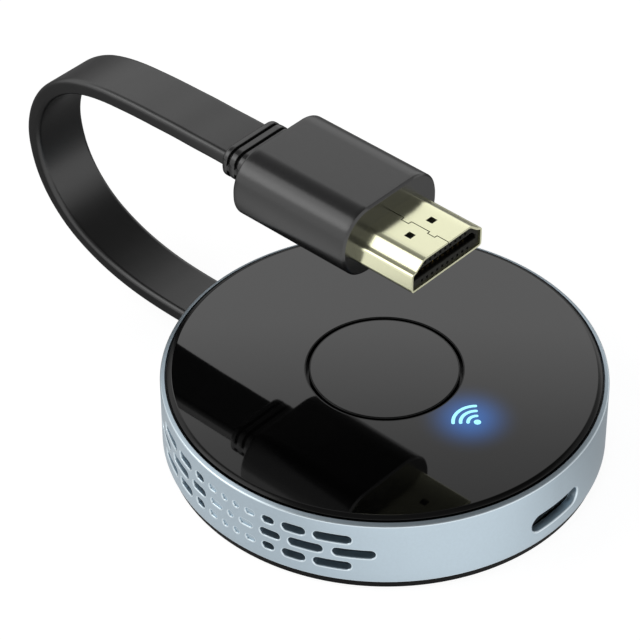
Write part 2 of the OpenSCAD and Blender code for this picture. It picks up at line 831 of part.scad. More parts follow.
module plug_insulator() {
    inner = inset(shell_outline, shell_sheet + play / 2);
    ins_len = shell_in + shell_out - insulator_back;
    face_x = plug_x - insulator_back;
    slot = full_outline(slot_shares, shell_w, shell_h);
    slot_lo = shell_z + slot_shares[0][1] * shell_h;
    slot_hi = shell_z + slot_shares[2][1] * shell_h;
    color([0.07, 0.07, 0.08]) difference() {
        along_x(face_x - ins_len, ins_len, shell_z) polygon(inner);
        along_x(face_x - slot_len, slot_len + over, shell_z) polygon(slot);
        for (i = [0 : pins_up - 1])
            translate([face_x - window_deep, (i - (pins_up - 1) / 2) * pin_pitch - window / 2,
                       slot_hi + window_up - window / 2])
                cube([window_deep + over, window, window]);
        for (i = [0 : pins_down - 1])
            translate([face_x - window_deep, (i - (pins_down - 1) / 2) * pin_pitch - window / 2,
                       slot_lo - window_down - window / 2])
                cube([window_deep + over, window, window]);
    }
}

module plug_contacts() {
    slot_lo = shell_z + slot_shares[0][1] * shell_h;
    slot_hi = shell_z + slot_shares[2][1] * shell_h;
    pin_x = plug_x - insulator_back - slot_len;
    color([0.9, 0.75, 0.35]) {
        for (i = [0 : pins_up - 1])
            translate([pin_x, (i - (pins_up - 1) / 2) * pin_pitch - pin_w / 2, slot_hi - pin_t])
                cube([pin_len, pin_w, pin_t]);
        for (i = [0 : pins_down - 1])
            translate([pin_x, (i - (pins_down - 1) / 2) * pin_pitch - pin_w / 2, slot_lo])
                cube([pin_len, pin_w, pin_t]);
    }
}

side_ring();
top_plate();
plate_adhesive();
indicator_glyph();
button_cap();
return_cushion();
switch_plunger();
switch_body();
top_frame();
light_guide();
status_led();
bottom_cover();
foot_pad();
cover_screws();
main_board();
processor();
memory_chip();
flash_chip();
thermal_pad();
heat_spreader();
wifi_chip();
wifi_shield();
antenna_strips();
antenna_contacts();
video_chip();
crystal();
power_inductor();
capacitors();
vent_screen();
usb_shell();
usb_tongue();
usb_contacts();
cable_gland();
cable_clamp();
cable_tail();
cable_wires();
board_connector();
flat_cable();
plug_collar();
plug_housing();
plug_inner_mold();
plug_shell();
plug_insulator();
plug_contacts();
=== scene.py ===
import bmesh
import bpy
import math
import numpy as np
from mathutils import Matrix, Vector


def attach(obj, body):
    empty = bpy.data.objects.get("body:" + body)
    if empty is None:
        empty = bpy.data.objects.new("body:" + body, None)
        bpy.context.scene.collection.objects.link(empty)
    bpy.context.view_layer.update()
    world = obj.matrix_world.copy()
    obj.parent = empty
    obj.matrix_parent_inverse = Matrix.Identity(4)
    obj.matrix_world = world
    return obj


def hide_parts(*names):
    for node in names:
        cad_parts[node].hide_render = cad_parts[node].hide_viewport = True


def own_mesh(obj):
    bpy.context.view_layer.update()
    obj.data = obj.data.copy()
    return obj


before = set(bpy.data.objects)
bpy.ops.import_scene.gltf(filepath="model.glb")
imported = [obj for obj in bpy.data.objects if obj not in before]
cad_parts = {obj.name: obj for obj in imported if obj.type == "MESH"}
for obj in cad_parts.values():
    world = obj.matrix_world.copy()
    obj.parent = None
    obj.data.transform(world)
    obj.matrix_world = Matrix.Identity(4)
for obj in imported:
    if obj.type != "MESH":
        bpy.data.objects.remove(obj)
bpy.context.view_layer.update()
mm = 0.001


def addObject(name, data):
    obj = bpy.data.objects.new(name, data)
    bpy.context.scene.collection.objects.link(obj)
    return obj


# the camera, fitted to the photograph
cameraSet = {
    "azimuth": 42.5,  # degrees, from the side with the vents towards the socket
    "elevation": 39.775,
    "roll": -0.225,
    "distance": 432.16,  # mm from the point it looks at
    "target": (-23.2, 12.35, 0.0),
    "lens": 167.53, "sensor": 36,
    "nearest": 10.0,  # mm from the lens, where the picture starts
}


def placeCamera(c):
    # back points from the target to the lens; right and up are turned by the roll
    az, el, roll = (math.radians(c[k]) for k in ("azimuth", "elevation", "roll"))
    back = Vector((math.sin(az) * math.cos(el), -math.cos(az) * math.cos(el), math.sin(el)))
    right = Vector((math.cos(az), math.sin(az), 0))
    up = back.cross(right)
    right, up = (right * math.cos(roll) + up * math.sin(roll),
                 up * math.cos(roll) - right * math.sin(roll))
    data = bpy.data.cameras.new("productCamera")
    data.lens = c["lens"]
    data.sensor_width = c["sensor"]
    data.clip_start = c["nearest"] * mm
    camera = addObject("productCamera", data)
    turn = Matrix((right, up, back)).transposed().to_4x4()
    turn.translation = (Vector(c["target"]) + back * c["distance"]) * mm
    camera.matrix_world = turn
    bpy.context.scene.camera = camera


placeCamera(cameraSet)
print("camera placed")

# mesh helpers: a shape is (points, quads) in mm
weldSteps = 2e4  # steps in a mm: corners on the same step are one corner


def weld(points, quads):
    # equal corners become one, and a quad with two equal corners becomes a triangle
    step = np.round(points * weldSteps).astype(np.int64)
    _, first, back = np.unique(step, axis=0, return_index=True, return_inverse=True)
    quads = back.reshape(-1)[quads]
    same = quads == np.roll(quads, -1, axis=1)
    full = quads[same.sum(1) == 0]
    tris = [np.delete(quads[(same.sum(1) == 1) & same[:, k]], k, axis=1) for k in range(4)]
    return points[first], full, np.concatenate(tris)


def makePiece(name, shape, look, node, body="puck", sharp=35, even=True):
    # the piece sits at the origin with its place in its mesh
    points, full, tris = weld(np.asarray(shape[0], float), np.asarray(shape[1], int))
    mesh = bpy.data.meshes.new(name)
    counts = np.r_[np.full(len(full), 4), np.full(len(tris), 3)]
    loops = np.r_[full.reshape(-1), tris.reshape(-1)].astype(np.int32)
    starts = np.r_[0, np.cumsum(counts)[:-1]].astype(np.int32)
    mesh.vertices.add(len(points))
    mesh.vertices.foreach_set("co", (points * mm).astype(np.float32).reshape(-1))
    mesh.loops.add(len(loops))
    mesh.loops.foreach_set("vertex_index", loops)
    mesh.polygons.add(len(counts))
    mesh.polygons.foreach_set("loop_start", starts)
    mesh.update(calc_edges=True)
    mesh.validate()
    bm = bmesh.new()
    bm.from_mesh(mesh)
    bmesh.ops.recalc_face_normals(bm, faces=bm.faces)
    bm.to_mesh(mesh)
    bm.free()
    mesh.polygons.foreach_set("use_smooth", np.ones(len(mesh.polygons), bool))
    mesh.set_sharp_from_angle(angle=math.radians(sharp))
    mesh.materials.append(looks[look])
    piece = addObject(name, mesh)
    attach(piece, body)
    if node:
        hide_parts(node)
    if even:
        # large flat faces keep their own direction beside small round edges
        weighted = piece.modifiers.new("evenNormals", "WEIGHTED_NORMAL")
        weighted.weight = 90
        weighted.keep_sharp = True
    return piece


def gridQuads(rows, cols):
    # quads between the points of a rows by cols grid, whose last column meets its first
    i, j = np.meshgrid(np.arange(rows - 1) * cols, np.arange(cols), indexing="ij")
    after = (j + 1) % cols
    return np.stack([i + j, i + after, i + cols + after, i + cols + j], -1).reshape(-1, 4)


def tube(rings):
    # closed rings of equal length, one after the other
    rings = np.asarray(rings)
    return rings.reshape(-1, 3), gridQuads(*rings.shape[:2])


def capped(rings):
    # a tube whose two ends close on the middle of their ring
    ends = [np.broadcast_to(ring.mean(0), (1, *ring.shape)) for ring in (rings[0], rings[-1])]
    return tube(np.concatenate([ends[0], rings, ends[1]]))


def join(shapes):
    # several shapes as one
    starts = np.cumsum([0] + [len(points) for points, _ in shapes[:-1]])
    return (np.concatenate([points for points, _ in shapes]),
            np.concatenate([quads + start for (_, quads), start in zip(shapes, starts)]))


def lengthOne(vectors):
    return vectors / np.linalg.norm(vectors, axis=-1, keepdims=True)


def softCorners(line, radii, steps=6, pad=0.0, most=0.49):
    # each corner becomes the curve (1-t)^2 p + 2t(1-t) corner + t^2 q, from p on one of its sides to q on
    # the other, each at most a share of the side away; pad puts a point on the sides by the curve's ends,
    # which keeps them flat when shaded
    line = np.asarray(line, float)
    radii = np.broadcast_to(radii, len(line))
    t = np.linspace(0, 1, steps + 1)[:, None]
    parts = [line[:1]]
    for k in range(1, len(line) - 1):
        sides = line[[k - 1, k + 1]] - line[k]
        lengths = np.linalg.norm(sides, axis=1)
        sides /= lengths[:, None]
        p, q = line[k] + sides * min(radii[k], *lengths * most)
        if pad:
            parts.append([p + sides[0] * pad])
        parts.append((1 - t) ** 2 * p + 2 * t * (1 - t) * line[k] + t ** 2 * q)
        if pad:
            parts.append([q + sides[1] * pad])
    parts.append(line[-1:])
    return np.concatenate(parts)


def spin(profile, turns=360):
    # a profile of (radius, height), from the axis or round a closed line, carried round the axis
    r, z = np.asarray(profile, float).T[..., None]
    a = np.linspace(0, 2 * np.pi, turns, endpoint=False)
    return tube(np.stack([r * np.cos(a), r * np.sin(a), z + 0 * a], -1))


def outlineBox(w, h, r, steps=8):
    # points round a rectangle with round corners, anticlockwise, with their outward directions
    turn = np.linspace(0, np.pi / 2, steps + 1)
    points, outward = [], []
    for k, corner in enumerate(((1, 1), (-1, 1), (-1, -1), (1, -1))):
        away = np.stack([np.cos(turn + k * np.pi / 2), np.sin(turn + k * np.pi / 2)], -1)
        points.append(np.array(corner) * (w / 2 - r, h / 2 - r) + r * away)
        outward.append(away)
    return np.concatenate(points), np.concatenate(outward)


def quarter(radius, steps=6):
    # a quarter of a circle from flat to upright as (how far along, how far drawn in)
    t = np.linspace(0, np.pi / 2, steps + 1)
    return radius * (1 - np.cos(t)), radius * (1 - np.sin(t))


# materials


def addNode(tree, kind, feeds=(), operation=None):
    # feeds are inputs with their values, or with the outputs that they are linked to
    node = tree.nodes.new(kind)
    if operation:
        node.operation = operation
    for key, value in dict(feeds).items():
        if isinstance(value, bpy.types.NodeSocket):
            tree.links.new(value, node.inputs[key])
        else:
            node.inputs[key].default_value = value
    return node


def calc(tree, operation, *values):
    return addNode(tree, "ShaderNodeMath", enumerate(values), operation).outputs[0]


def scaled(tree, tone, by):
    return addNode(tree, "ShaderNodeVectorMath", {0: tone, "Scale": by}, "SCALE").outputs[0]


def shareBetween(tree, value, low, high, first, last, ease="SMOOTHSTEP"):
    # first where the value is low, last where it is high
    node = addNode(tree, "ShaderNodeMapRange", {"Value": value, "From Min": low, "From Max": high,
                                                "To Min": first, "To Max": last})
    node.interpolation_type = ease
    return node.outputs[0]


def placeOn(tree, coordinate="Object"):
    return addNode(tree, "ShaderNodeTexCoord").outputs[coordinate]


def axesOf(tree, coordinate="Object"):
    return addNode(tree, "ShaderNodeSeparateXYZ", {0: placeOn(tree, coordinate)}).outputs


def nodeOf(mat, kind):
    return next(n for n in mat.node_tree.nodes if n.type == kind)


def grainGroup():
    # noise at one size for tone and roughness and a finer one for relief, on the object's own coordinates
    group = bpy.data.node_groups.new("surfaceGrain", "ShaderNodeTree")
    face = group.interface
    face.new_socket("Tone", in_out="INPUT", socket_type="NodeSocketColor")
    for name in ("Spread", "Roughness", "Roughness Spread", "Size", "Fine Size"):
        face.new_socket(name, in_out="INPUT", socket_type="NodeSocketFloat")
    face.new_socket("Color", in_out="OUTPUT", socket_type="NodeSocketColor")
    for name in ("Roughness", "Height"):
        face.new_socket(name, in_out="OUTPUT", socket_type="NodeSocketFloat")
    source, sink = group.nodes.new("NodeGroupInput").outputs, group.nodes.new("NodeGroupOutput").inputs
    where = placeOn(group)
    broad, fine = (addNode(group, "ShaderNodeTexNoise", {"Vector": where, "Scale": source[size],
                                                         "Detail": detail}).outputs[0]
                   for size, detail in (("Size", 3), ("Fine Size", 2)))
    # tone times 1 + spread * (noise - 0.5), and roughness + spread * (noise - 0.5)
    shift = calc(group, "SUBTRACT", broad, 0.5)
    gain = calc(group, "MULTIPLY_ADD", shift, source["Spread"], 1)
    rough = calc(group, "MULTIPLY_ADD", shift, source["Roughness Spread"], source["Roughness"])
    group.links.new(scaled(group, source["Tone"], gain), sink["Color"])
    group.links.new(rough, sink["Roughness"])
    group.links.new(fine, sink["Height"])
    return group


grain = grainGroup()


def makeMaterial(name, tone, rough, metallic, spread, roughSpread, size, fineSize, relief, others=()):
    # the grain gives the colour, the roughness and, as a bump, the normal
    mat = bpy.data.materials.new(name)
    mat.use_nodes = True
    tree = mat.node_tree
    tree.nodes.clear()
    look = tree.nodes.new("ShaderNodeGroup")
    look.node_tree = grain
    for key, value in (("Tone", (*tone, 1)), ("Spread", spread), ("Roughness", rough),
                       ("Roughness Spread", roughSpread), ("Size", size), ("Fine Size", fineSize)):
        look.inputs[key].default_value = value
    bump = addNode(tree, "ShaderNodeBump", {"Strength": 1, "Distance": relief * mm,
                                            "Height": look.outputs["Height"]})
    shader = addNode(tree, "ShaderNodeBsdfPrincipled", {
        "Base Color": look.outputs["Color"], "Roughness": look.outputs["Roughness"],
        "Normal": bump.outputs[0], "Metallic": metallic, **dict(others)})
    addNode(tree, "ShaderNodeOutputMaterial", {0: shader.outputs[0]})
    return mat


lookSet = {
    # tone, roughness, metallic, spread of the tone and of the roughness, size of the broad and of the fine
    # grain, relief in mm, other values of the shader
    "ringMetal": ((0.485, 0.578, 0.645), 0.4, 1, 0.1, 0.08, 2500, 9000, 0.003),
    "ringEdge": ((0.7, 0.8, 0.86), 0.3, 1, 0.06, 0.06, 2500, 9000, 0.001),
    "plateGloss": ((0.0015, 0.0015, 0.0016), 0.03, 0, 0.2, 0.02, 300, 2500, 0.00004, {"IOR": 1.78}),
    "plateEdge": ((0.002, 0.002, 0.002), 0.2, 0, 0.2, 0.05, 600, 4000, 0.0002, {"IOR": 1.38}),
    "buttonGloss": ((0.002, 0.002, 0.0021), 0.035, 0, 0.2, 0.02, 300, 2500, 0.00005, {"IOR": 1.78}),
    "coverBlack": ((0.004, 0.004, 0.004), 0.5, 0, 0.2, 0.1, 1500, 5000, 0.006, {"IOR": 1.2}),
    "footRubber": ((0.03, 0.03, 0.031), 0.75, 0, 0.25, 0.1, 1200, 4500, 0.01),
    "leadBlack": ((0.007, 0.007, 0.0071), 0.3, 0, 0.15, 0.08, 1600, 5500, 0.003, {"IOR": 1.72}),
    "housingBlack": ((0.008, 0.008, 0.0081), 0.24, 0, 0.12, 0.08, 1800, 5200, 0.003, {"IOR": 1.74}),
    "shellGold": ((0.99, 0.99, 0.69), 0.2, 1, 0.05, 0.06, 1400, 7000, 0.0008),
    "insulatorGrey": ((0.004, 0.004, 0.004), 0.6, 0, 0.15, 0.1, 1500, 5000, 0.003, {"IOR": 1.2}),
    "plugInner": ((0.04, 0.04, 0.036), 0.6, 0, 0.15, 0.1, 1500, 5000, 0.003, {"IOR": 1.2}),
    "socketSteel": ((0.74, 0.84, 0.92), 0.35, 1, 0.08, 0.08, 1500, 7000, 0.001),
    "contactGold": ((0.9, 0.68, 0.32), 0.25, 1, 0.08, 0.08, 1500, 7000, 0.0006),
    "steelPlain": ((0.55, 0.55, 0.56), 0.3, 1, 0.1, 0.1, 1500, 7000, 0.001),
    "canSteel": ((0.62, 0.61, 0.58), 0.32, 1, 0.08, 0.12, 900, 6000, 0.0012),
    "copperFoil": ((0.8, 0.42, 0.25), 0.3, 1, 0.12, 0.1, 1200, 6000, 0.001),
    "boardGreen": ((0.012, 0.09, 0.045), 0.35, 0, 0.3, 0.1, 1100, 3000, 0.002, {"Coat Weight": 0.4}),
    "chipBlack": ((0.02, 0.02, 0.022), 0.6, 0, 0.2, 0.1, 2500, 6500, 0.004),
    "thermalBlue": ((0.18, 0.34, 0.55), 0.7, 0, 0.15, 0.1, 900, 3500, 0.006),
    "spreaderMetal": ((0.6, 0.61, 0.62), 0.4, 1, 0.1, 0.15, 700, 6000, 0.002),
    "framePlastic": ((0.03, 0.03, 0.032), 0.5, 0, 0.15, 0.1, 1200, 5000, 0.005),
    "glueGrey": ((0.16, 0.16, 0.16), 0.55, 0, 0.3, 0.1, 900, 3000, 0.006),
    "spongeGrey": ((0.1, 0.1, 0.11), 0.9, 0, 0.4, 0.1, 2500, 3500, 0.05),
    "guideClear": ((0.82, 0.9, 0.98), 0.12, 0, 0.03, 0.05, 900, 4000, 0.0005,
                   {"Transmission Weight": 0.9, "IOR": 1.49}),
    "ledWhite": ((0.85, 0.86, 0.8), 0.35, 0, 0.05, 0.05, 1500, 5000, 0.001),
    "ferriteGrey": ((0.06, 0.06, 0.065), 0.65, 0, 0.2, 0.1, 2500, 6000, 0.004),
    "ceramicBrown": ((0.33, 0.22, 0.13), 0.5, 0, 0.2, 0.1, 2500, 7000, 0.002),
    "wireInk": ((0.4, 0.1, 0.08), 0.4, 0, 0.6, 0.1, 350, 5000, 0.002),
    "ivoryPlastic": ((0.7, 0.66, 0.55), 0.45, 0, 0.08, 0.08, 900, 4000, 0.003),
    "screenDark": ((0.02, 0.035, 0.045), 0.5, 0.3, 0.2, 0.1, 1500, 5000, 0.002),
    "signLight": ((0.35, 0.7, 0.95), 0.3, 0, 0.05, 0.05, 900, 4000, 0.0005),
}
looks = {name: makeMaterial(name, *values) for name, values in lookSet.items()}
print("materials made")

# the dark screen behind the vents: the pitch of its weave in mm, and the waves' heights with their tones,
# the holes' tone being painted shade
screenSet = {"pitch": 0.32, "hole": (0.3, (0.012, 0.02, 0.027)), "thread": (0.8, (0.03, 0.05, 0.065))}


def weaveScreen(mat, c):
    # two crossed sine waves cut the light threads out of the holes, whose dark tone is painted shade
    tree, axes = mat.node_tree, axesOf(mat.node_tree)
    waves = [calc(tree, "SINE", calc(tree, "MULTIPLY", axes[axis], 2 * math.pi / (c["pitch"] * mm)))
             for axis in ("X", "Z")]
    ramp = addNode(tree, "ShaderNodeValToRGB", {0: calc(tree, "MAXIMUM", *waves)})
    for stop, (position, tone) in zip(ramp.color_ramp.elements, (c["hole"], c["thread"])):
        stop.position = position
        stop.color = (*tone, 1)
    tree.links.new(ramp.outputs[0], nodeOf(mat, "BSDF_PRINCIPLED").inputs["Base Color"])


def paintedShadeBehind(mat, front, deep, rest):
    # painted shade: the tone falls to a share of itself behind the front face, which paints the slot inside
    # as shaded: x in mm
    tree = mat.node_tree
    fall = shareBetween(tree, axesOf(tree)["X"], deep * mm, front * mm, rest, 1.0, "LINEAR")
    paint = scaled(tree, nodeOf(mat, "GROUP").outputs["Color"], fall)
    tree.links.new(paint, nodeOf(mat, "BSDF_PRINCIPLED").inputs["Base Color"])


def glowOn(mat, centre, inner, outer, tone):
    # light that spreads under the gloss: tone * share^2, where the share falls from inner to outer, in mm
    tree, shader = mat.node_tree, nodeOf(mat, "BSDF_PRINCIPLED")
    away = addNode(tree, "ShaderNodeVectorMath", {0: placeOn(tree), 1: [v * mm for v in centre]}, "DISTANCE")
    share = shareBetween(tree, away.outputs["Value"], inner * mm, outer * mm, 1.0, 0.0)
    glow = scaled(tree, tone, calc(tree, "POWER", share, 2))
    tree.links.new(glow, shader.inputs["Emission Color"])
    shader.inputs["Emission Strength"].default_value = 1


def dress(nodeLooks):
    # each solid that stays gets a finer material
    for node, look in nodeLooks.items():
        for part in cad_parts[node].material_slots:
            part.material = looks[look]


# painted shade inside the plug's slot, behind its front face
paintedShadeBehind(looks["plugInner"], front=10.03, deep=9.75, rest=0.05)
weaveScreen(looks["screenDark"], screenSet)
# painted light: the sign glows with no lamp in it, and its glow spreads as a blue pool on the plate round it
glowOn(looks["plateGloss"], centre=(15.2, -0.1, 12.1), inner=0.4, outer=8.2, tone=(0.012, 0.1, 0.36))
glowOn(looks["signLight"], centre=(14.9, 0.2, 12.1), inner=2.6, outer=9.0, tone=(0.3, 0.78, 1.0))

# the lead, on the route of the solid
leadSet = {
    "width": 9.0, "thick": 2.4, "corner": 0.8, "cornerSteps": 10,
    "route": [[-33.6, 4.3], [-37, 4.3], [-40.5, 4.4], [-44, 4.7], [-47.5, 5.3], [-50.8, 6.2], [-54, 7.5],
              [-56.8, 9.1], [-59.2, 11.1], [-61.2, 13.5], [-62.7, 16.3], [-63.6, 19.4], [-63.9, 22.6],
              [-63.4, 25.7], [-62.2, 28.6], [-60.4, 31.1], [-58, 33.2], [-55.2, 34.8], [-52.1, 35.8],
              [-48.8, 36.4], [-45.4, 36.7], [-42, 36.9], [-38.5, 37], [-35, 37.1], [-31.5, 37.1],
              [-28, 37.15], [-24.8, 37.15]],
}


def throughPoints(points, steps=8):
    # a smooth cubic curve through the points: at each one it runs along the line between its neighbours
    p = np.asarray(points, float)
    p = np.concatenate([2 * p[:1] - p[1:2], p, 2 * p[-1:] - p[-2:-1]])
    t = np.linspace(0, 1, steps, endpoint=False)[:, None]
    a, b, c, d = (p[k:len(p) - 3 + k, None, :] for k in range(4))
    curve = 0.5 * (2 * b + (c - a) * t + (2 * a - 5 * b + 4 * c - d) * t ** 2
                   + (3 * b - a - 3 * c + d) * t ** 3)
    return np.concatenate([curve.reshape(-1, p.shape[1]), p[-2:-1]])


def makeLead(c):
    # a rounded section carried along the route: route + y across + thickness along the route's normal
    route = throughPoints(c["route"])
    tangent = lengthOne(np.gradient(route, axis=0))
    up = np.stack([-tangent[:, 1], tangent[:, 0]], -1)
    section, _ = outlineBox(c["width"], c["thick"], c["corner"], c["cornerSteps"])
    rings = np.stack([route[:, None, 0] + up[:, None, 0] * section[None, :, 1],
                      np.broadcast_to(section[None, :, 0], (len(route), len(section))),
                      route[:, None, 1] + up[:, None, 1] * section[None, :, 1]], -1)
    return makePiece("lead", capped(rings), "leadBlack", "flat_cable"), route


lead, leadRoute = makeLead(leadSet)

# collar and housing of the plug
plugSet = {
    "z": 37.15, "frontX": 0.7, "rearX": -19.1, "collarX": -24.8,
    # width, height and corner, then the rows of points on the straight walls, which end before its edges
    "housing": (18.4, 10.4, 4.9), "cornerSteps": 16, "rearRound": 0.35, "rows": 12, "plainEnds": 1.0,
    # the chamfered front edge: x from the front face and drawn in
    "frontEdge": [[-0.35, 0], [-0.3, 0.01], [-0.02, 0.28], [0, 0.33]],
    "mouthIn": 0.03, "mouthDepths": (0, 0.05, 0.9),  # the front's hole, inside the shell's sheet
    # the collar's end is tucked into the housing, and a rib bridges its grooves at the sides
    "collar": (10.9, 4.75, 2.0), "collarRound": 0.5, "tuck": 0.2, "ribHalf": 0.45,
    "grooves": (-23.55, -22.15, -20.75), "grooveWidth": 0.5, "grooveDepth": 0.45, "grooveEdge": 0.06,
}


def alongX(xs, insets, box, z, ribHalf=0.0, steps=10, sideways=0.9):
    # a rounded section carried along X, drawn in by insets[k] at xs[k]; the rib along its sides stays out,
    # apart from where an inset is negative, which draws the whole section in
    section, out = outlineBox(*box, steps)
    rib = (np.abs(section[:, 1]) < ribHalf) & (np.abs(out[:, 0]) > sideways)
    inset = np.asarray(insets)[:, None]
    inset = np.where(inset < 0, -inset, inset * ~rib)
    ring = section - out * inset[..., None]
    x = np.broadcast_to(np.asarray(xs)[:, None, None], ring.shape[:2] + (1,))
    return np.concatenate([x, ring + np.array([0, z])], -1)


def makeCollar(c):
    # a section that starts round and is drawn in by the grooves, apart from the rib along its sides
    along, drawn = quarter(c["collarRound"])
    xs, insets = [c["collarX"] + along], [-drawn]
    half, deep, edge = c["grooveWidth"] / 2, c["grooveDepth"], c["grooveEdge"]
    for groove in c["grooves"]:
        xs.append(groove + np.array([-half - edge, -half, -half + edge, half - edge, half, half + edge]))
        insets.append([0, edge, deep, deep, edge, 0])
    xs.append([c["rearX"] + c["tuck"]])
    insets.append([0])
    body = alongX(np.concatenate(xs), np.concatenate(insets), c["collar"], c["z"], c["ribHalf"])
    return makePiece("plugCollar", capped(body), "housingBlack", "plug_collar")


shellSet = {
    "frontX": 10.4, "rearX": -6.8, "z": 34.925, "sheet": 0.3,
    # the corners of its right half as (y, z, radius), from the bottom to the top
    "half": [[6.95, 0, 0.6], [6.95, 2.89, 0.35], [6.12, 3.25, 0.3], [4.65, 4.45, 0.5]], "pad": 0.04,
    "latch": 1.1, "latchX": 5.85, "latchY": 2.145,
    # rows of points along it, more rows and a column of them, and how near a flat face counts as on it
    "rows": 30, "extraX": (0.7, 9.9, 10.3), "extraY": 0.8, "slack": 0.01,
    # the seam jogs sideways at these places: [x, y after it]
    "seam": 0.14, "seamStart": 0.13, "jogs": [[2.85, -0.42], [4.12, 0.13], [7.25, -0.33], [8.5, 0.13]],
    # half a jog's length, how far beside the seam the columns go with it, and the width in which that ends
    "jogHalf": 0.015, "swayFlat": 0.1, "swayFall": 1.2,
}


def crossOf(p, q):
    return p[..., 0] * q[..., 1] - p[..., 1] * q[..., 0]


def rayOut(outline, angles, least=1e-12, slack=1e-9):
    # how far a ray from the middle goes to a closed outline, at each angle
    a, b = outline, np.roll(outline, -1, axis=0)
    d = np.stack([np.cos(angles), np.sin(angles)], -1)
    e = b - a
    den = crossOf(d[:, None], e[None])
    den = np.where(np.abs(den) < least, least, den)
    t = crossOf(a[None], e[None]) / den
    s = crossOf(a[None], d[:, None]) / den
    return np.where((s > -slack) & (s < 1 + slack) & (t > 0), t, -1).max(1)


def shellHalf(c, grow=0.0):
    # the right half of the shell's section, from the bottom's middle to the top's middle
    line = [[0, 0]] + [[y, z] for y, z, _ in c["half"]] + [[0, c["half"][-1][1]]]
    line = softCorners(line, [0] + [r for _, _, r in c["half"]] + [0], pad=c["pad"])
    t = lengthOne(np.gradient(line, axis=0))
    return line + np.stack([t[:, 1], -t[:, 0]], -1) * grow


def makeHousing(c, shell):
    # a section with a round rear edge, straight walls and a chamfered front edge
    along, drawn = quarter(c["rearRound"])
    edge = np.array(c["frontEdge"])
    straight = np.linspace(c["rearX"] + c["plainEnds"], c["frontX"] - c["plainEnds"], c["rows"])
    xs = np.concatenate([c["rearX"] + along, straight, c["frontX"] + edge[:, 0]])
    insets = np.concatenate([drawn, 0 * straight, edge[:, 1]])
    body = alongX(xs, insets, c["housing"], c["z"], steps=c["cornerSteps"])
    # the front closes on the shell, and goes on a little way inside its sheet
    half = shellHalf(shell, -c["mouthIn"])
    around = np.concatenate([half, (half * [-1, 1])[::-1][1:-1]]) + [0, shell["z"] - c["z"]]
    away = body[-1, :, 1:] - [0, c["z"]]
    reach = rayOut(around, np.arctan2(away[:, 1], away[:, 0]))
    mouth = lengthOne(away) * reach[:, None] + [0, c["z"]]
    rings = [np.c_[np.full(len(mouth), c["frontX"] - deep), mouth] for deep in c["mouthDepths"]]
    return makePiece("plugHousing", capped(np.concatenate([body, rings])), "housingBlack", "plug_housing",
                     sharp=28)


collar = makeCollar(plugSet)
housing = makeHousing(plugSet, shellSet)
print("collar and housing made")

# the plug's metal shell: one folded sheet with a jogged seam and four latch windows


def shellLoop(c, tiny=1e-6):
    # the section from seam to seam, with columns at the sides of the windows on its two flat faces
    top = c["half"][-1][1]
    half = shellHalf(c)
    low = half[half[:, 1] < tiny][-1, 0]
    high = half[half[:, 1] > top - tiny][0, 0]
    corner = half[(half[:, 1] > tiny) & (half[:, 1] < top - tiny)]
    inside, outside = c["latchY"] - c["latch"] / 2, c["latchY"] + c["latch"] / 2
    ys = np.array([0.0, c["extraY"], inside, c["latchY"], outside, (outside + min(low, high)) / 2])
    bottom = np.r_[ys, low]
    upper = np.r_[high, ys[:0:-1], c["seam"] / 2]
    right = np.concatenate([np.c_[bottom, 0 * bottom], corner, np.c_[upper, 0 * upper + top]])
    return np.concatenate([right, (right * [-1, 1])[::-1][:-1]]), len(right)


def seamSide(c, side):
    # one side of the seam as (x, y): it jogs half the seam's width before or after each place
    y = c["seamStart"]
    line = [[c["rearX"], y]]
    for x, after in c["jogs"]:
        x += c["seam"] / 2 * side * (1 if after < y else -1)
        line += [[x - c["jogHalf"], y], [x + c["jogHalf"], after]]
        y = after
    return np.array(line + [[c["frontX"], y]])


def makeShell(c):
    # the loop carried along X, open at the seam and at the windows
    top, half, latchX, slack = c["half"][-1][1], c["latch"] / 2, c["latchX"], c["slack"]
    loop, rightCount = shellLoop(c)
    sides = seamSide(c, 1), seamSide(c, -1)
    xs = np.r_[sides[0][:, 0], sides[1][:, 0], latchX - half, latchX + half, c["extraX"],
               np.linspace(c["rearX"], c["frontX"], c["rows"])]
    xs = np.unique(np.round(xs, 3))
    grid = np.empty((len(xs), len(loop), 3))
    grid[..., 0] = xs[:, None]
    grid[..., 1:] = loop
    # the seam's jogs carry the columns beside them sideways, and die out before the windows
    near = np.clip(1 - (np.abs(loop[:, 0]) - c["swayFlat"]) / c["swayFall"], 0, 1)
    near *= loop[:, 1] > top - slack
    for line, part in zip(sides, (loop[:, 0] > 0, loop[:, 0] < 0)):
        grid[..., 1] += np.interp(xs, line[:, 0], line[:, 1])[:, None] * (near * part)
    grid[..., 2] += c["z"]
    points, quads = tube(grid)
    row, col = quads[:, 0] // len(loop), quads % len(loop)
    middle = (xs[row] + xs[row + 1]) / 2
    centre = loop[col].mean(1)
    window = (np.abs(middle - latchX) < half) & ((centre[:, 1] < slack) | (centre[:, 1] > top - slack))
    window &= np.abs(np.abs(centre[:, 0]) - c["latchY"]) < half - slack
    outside = quads[~window & (col[:, 0] != rightCount - 1)]
    # the inner face lies a sheet's thickness inside, and each free edge is closed between the two
    run = lengthOne(np.roll(loop, -1, axis=0) - np.roll(loop, 1, axis=0))
    inner = grid.copy()
    inner[..., 1] -= run[:, 1] * c["sheet"]
    inner[..., 2] += run[:, 0] * c["sheet"]
    total = len(points)
    edges = np.concatenate([outside[:, [k, (k + 1) % 4]] for k in range(4)])
    forth, back = edges[:, 0] * total + edges[:, 1], edges[:, 1] * total + edges[:, 0]
    free = edges[~np.isin(forth, back)]
    rim = np.stack([free[:, 1], free[:, 0], free[:, 0] + total, free[:, 1] + total], -1)
    sheet = np.concatenate([points, inner.reshape(-1, 3)]), np.concatenate([outside, outside + total, rim])
    return makePiece("plugShell", sheet, "shellGold", "plug_shell", sharp=30, even=False)


plugShell = makeShell(shellSet)
dress({"plug_insulator": "plugInner", "plug_contacts": "contactGold", "plug_inner_mold": "ivoryPlastic"})
print("plug made")

